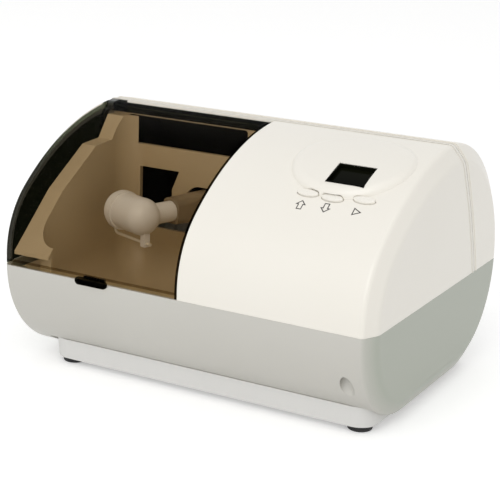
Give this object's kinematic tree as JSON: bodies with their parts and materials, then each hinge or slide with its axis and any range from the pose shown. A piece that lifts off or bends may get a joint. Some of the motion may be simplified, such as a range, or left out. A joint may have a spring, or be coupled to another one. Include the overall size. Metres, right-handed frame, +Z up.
{
  "type": "dental amalgamator",
  "caption": "Benchtop mixer for dental capsules: rounded two-tone case, tinted hinged lid over a rocking capsule holder, and a keypad pod with a display.",
  "frame": {"origin": "on the table, in the middle of the device's width and depth", "axes": "+X to the user's right, +Y from the front to the back, +Z up"},
  "size_m": [0.2358, 0.1916, 0.146],
  "materials": {
    "cover_white": "satin moulded warm white",
    "housing_grey": "fine textured warm grey",
    "plinth_grey": "fine textured pale grey",
    "foot_rubber": "black rubber",
    "lid_tint": "clear smoked amber acrylic",
    "liner_ivory": "smooth ivory moulding",
    "lens_black": "polished dark window",
    "key_white": "satin white key",
    "display_black": "black display body",
    "board_green": "green lacquered board",
    "holder_ivory": "ivory engineering plastic",
    "spring_steel": "bright spring wire",
    "screw_steel": "zinc plated",
    "bracket_steel": "zinc plated sheet",
    "motor_steel": "drawn steel can",
    "rotor_steel": "ground steel",
    "bearing_brass": "machined brass",
    "core_iron": "varnished laminations",
    "coil_copper": "enamelled copper windings",
    "mains_black": "black moulded plastic"
  },
  "bodies": {
    "case": {"lower_housing": "housing_grey", "base_plinth": "plinth_grey", "foot_pads": "foot_rubber", "foot_screws": "screw_steel", "case_screws": "screw_steel", "front_cover": "cover_white", "rear_cover": "cover_white", "lid_hinge_pins": "screw_steel", "latch_plate": "bracket_steel", "reed_switch": "display_black", "chamber_liner": "liner_ivory", "liner_screws": "screw_steel", "display_lens": "lens_black", "display_module": "display_black", "control_board": "board_green", "board_screws": "screw_steel", "tact_switches": "display_black", "motor_can": "motor_steel", "motor_end_caps": "motor_steel", "motor_bracket": "bracket_steel", "pedestal_bearing": "bearing_brass", "motor_mounts": "foot_rubber", "bracket_screws": "screw_steel", "centering_leaf": "spring_steel", "power_inlet": "mains_black", "power_switch_body": "mains_black", "transformer_core": "core_iron", "transformer_coil": "coil_copper", "transformer_screws": "screw_steel"},
    "lid": {"lid": "lid_tint", "lid_magnet": "core_iron"},
    "button_up": {"button_up": "key_white"},
    "button_down": {"button_down": "key_white"},
    "button_start": {"button_start": "key_white"},
    "power_rocker": {"power_rocker": "mains_black"},
    "mixing_arm": {"mixing_arm": "holder_ivory", "arm_collar": "holder_ivory", "capsule_cup": "holder_ivory", "arm_hub": "rotor_steel", "hub_bearing": "bearing_brass"},
    "capsule_cap": {"capsule_cap": "holder_ivory", "clamp_wire": "spring_steel"},
    "rotor": {"motor_shaft": "rotor_steel", "oblique_journal": "rotor_steel", "flywheel": "rotor_steel"}
  },
  "joints": [
    {"name": "lid_hinge", "type": "hinge", "parent": "case", "child": "lid", "pos_m": [-0.0545, 0.0073, 0.14206], "axis": [-1, 0, 0], "range_deg": [0, 90]},
    {"name": "up_press", "type": "slide", "parent": "case", "child": "button_up", "axis": [0, 0.5238, -0.8518], "range_m": [0, 0.0008], "stiffness_N_per_m": 400, "springref_m": -0.0005},
    {"name": "down_press", "type": "slide", "parent": "case", "child": "button_down", "axis": [0, 0.5238, -0.8518], "range_m": [0, 0.0008], "stiffness_N_per_m": 400, "springref_m": -0.0005},
    {"name": "start_press", "type": "slide", "parent": "case", "child": "button_start", "axis": [0, 0.5238, -0.8518], "range_m": [0, 0.0008], "stiffness_N_per_m": 400, "springref_m": -0.0005},
    {"name": "rocker_tilt", "type": "hinge", "parent": "case", "child": "power_rocker", "pos_m": [0.0815, 0.0778, 0.0435], "axis": [1, 0, 0], "range_deg": [0, 18]},
    {"name": "arm_swing", "type": "hinge", "parent": "case", "child": "mixing_arm", "pos_m": [-0.02974, 0.04755, 0.088], "axis": [0, 0, 1], "range_deg": [-5, 5], "stiffness_Nm_per_rad": 1.5},
    {"name": "cap_slide", "type": "slide", "parent": "mixing_arm", "child": "capsule_cap", "axis": [-0.9397, 0.342, 0], "range_m": [0, 0.007], "stiffness_N_per_m": 300, "springref_m": -0.003},
    {"name": "rotor_spin", "type": "hinge", "parent": "case", "child": "rotor", "pos_m": [-0.02974, 0.04755, 0.088], "axis": [0.9397, -0.342, 0], "continuous": true}
  ]
}
